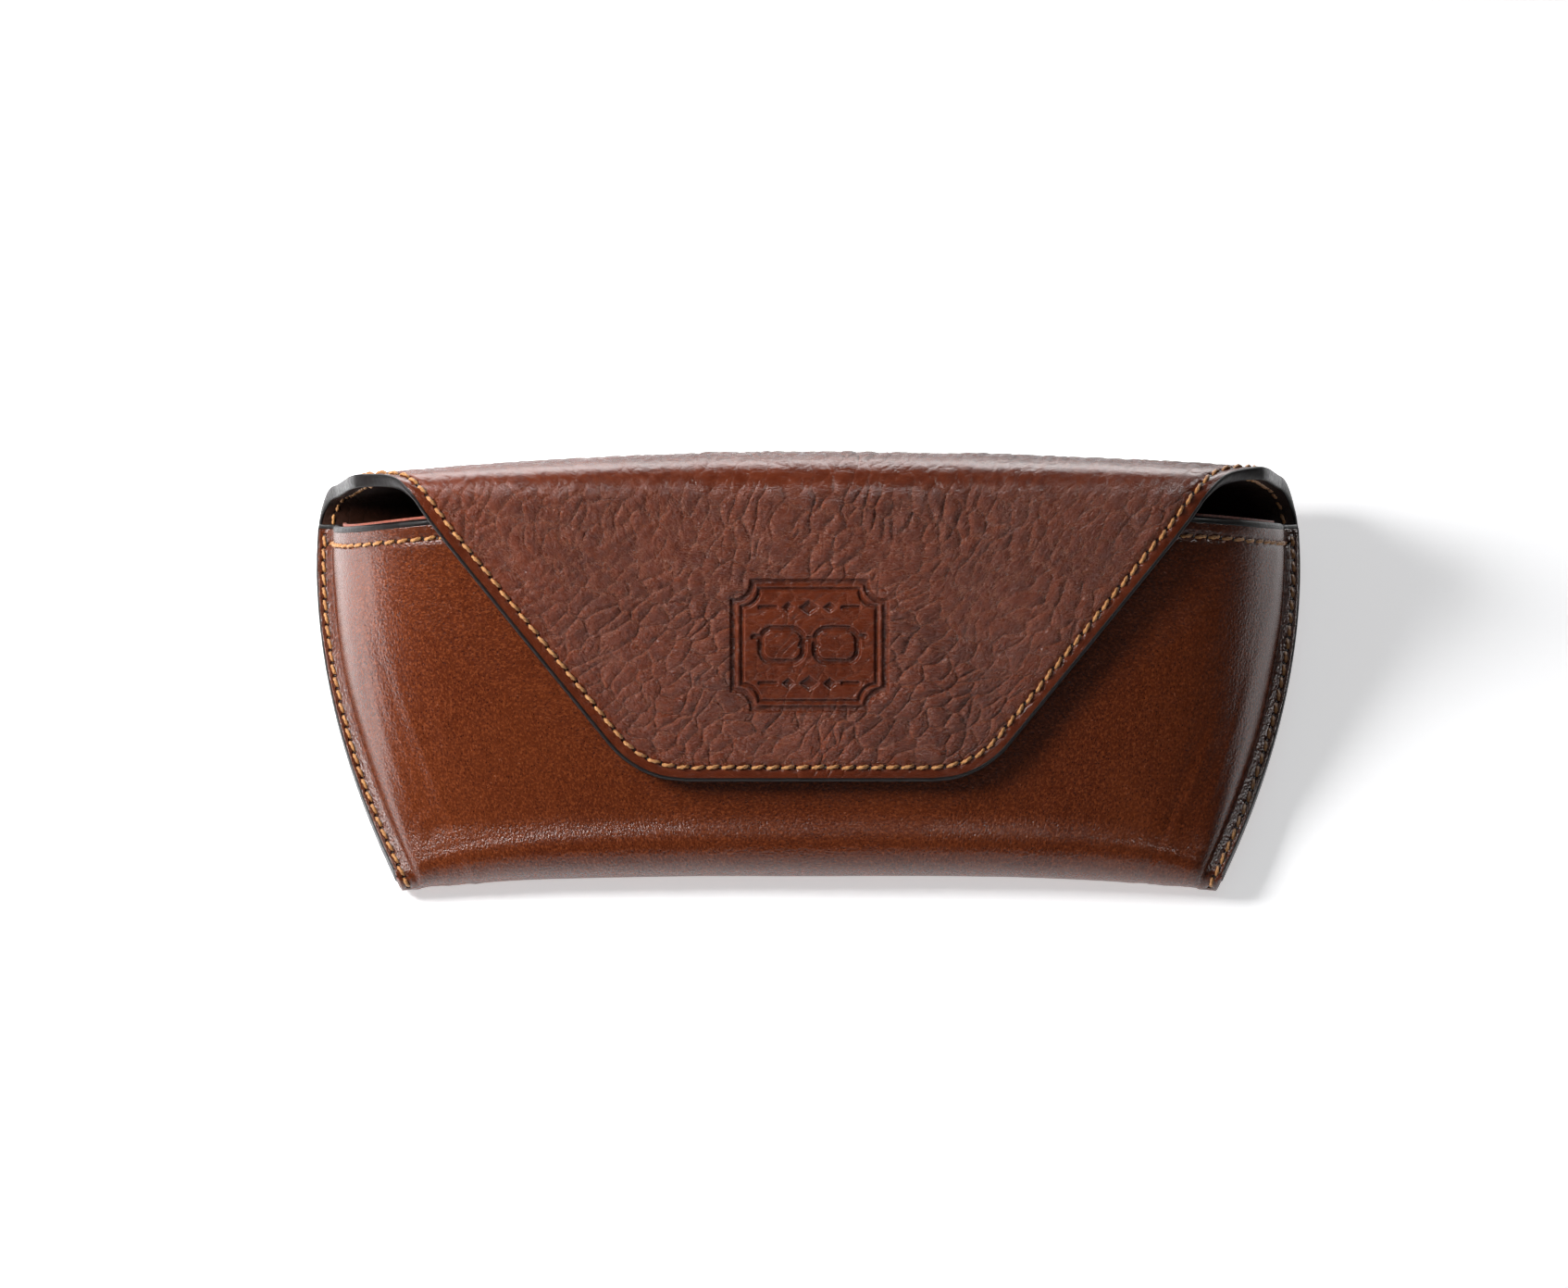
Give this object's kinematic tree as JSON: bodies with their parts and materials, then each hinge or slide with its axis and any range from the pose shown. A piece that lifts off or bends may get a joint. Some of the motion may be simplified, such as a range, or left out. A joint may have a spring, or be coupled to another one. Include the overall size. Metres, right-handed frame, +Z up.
{
  "type": "eyeglasses case",
  "caption": "Moulded leather eyeglasses case: a sewn wedge-shaped pouch with a lined flap that folds over its mouth and down the front, held by hidden magnets.",
  "frame": {"origin": "on the table under the middle of the closed case, which lies on its back", "axes": "+X across the case to the right seen from the bottom fold, +Y from the bottom fold to the flap's hinge, +Z up from the back panel to the front panel"},
  "size_m": [0.1772, 0.0798, 0.042],
  "materials": {
    "smooth_hide": "smooth burnished chestnut, glossy",
    "grained_hide": "pebbled and wrinkled, satin",
    "lining": "thin dark brown skin, matte",
    "thread": "waxed tan thread",
    "magnet": "plated"
  },
  "bodies": {
    "pouch": {"front_leather": "smooth_hide", "front_lining": "lining", "back_leather": "grained_hide", "back_lining": "lining", "front_magnet": "magnet", "side_thread_left": "thread", "side_thread_right": "thread", "back_thread_left": "thread", "back_thread_right": "thread", "mouth_thread": "thread"},
    "flap_spine": {"spine_leather": "grained_hide", "spine_lining": "lining", "spine_thread_left": "thread", "spine_thread_right": "thread"},
    "flap_tongue": {"tongue_leather": "grained_hide", "tongue_lining": "lining", "tongue_magnet": "magnet", "tongue_thread": "thread"}
  },
  "joints": [
    {"name": "flap_hinge", "type": "hinge", "parent": "pouch", "child": "flap_spine", "pos_m": [0, 0.03811, 0.00501], "axis": [-1, 0, 0], "range_deg": [0, 114]},
    {"name": "tongue_fold", "type": "hinge", "parent": "flap_spine", "child": "flap_tongue", "pos_m": [0, 0.02436, 0.04158], "axis": [-1, 0, 0], "range_deg": [0, 90]}
  ]
}
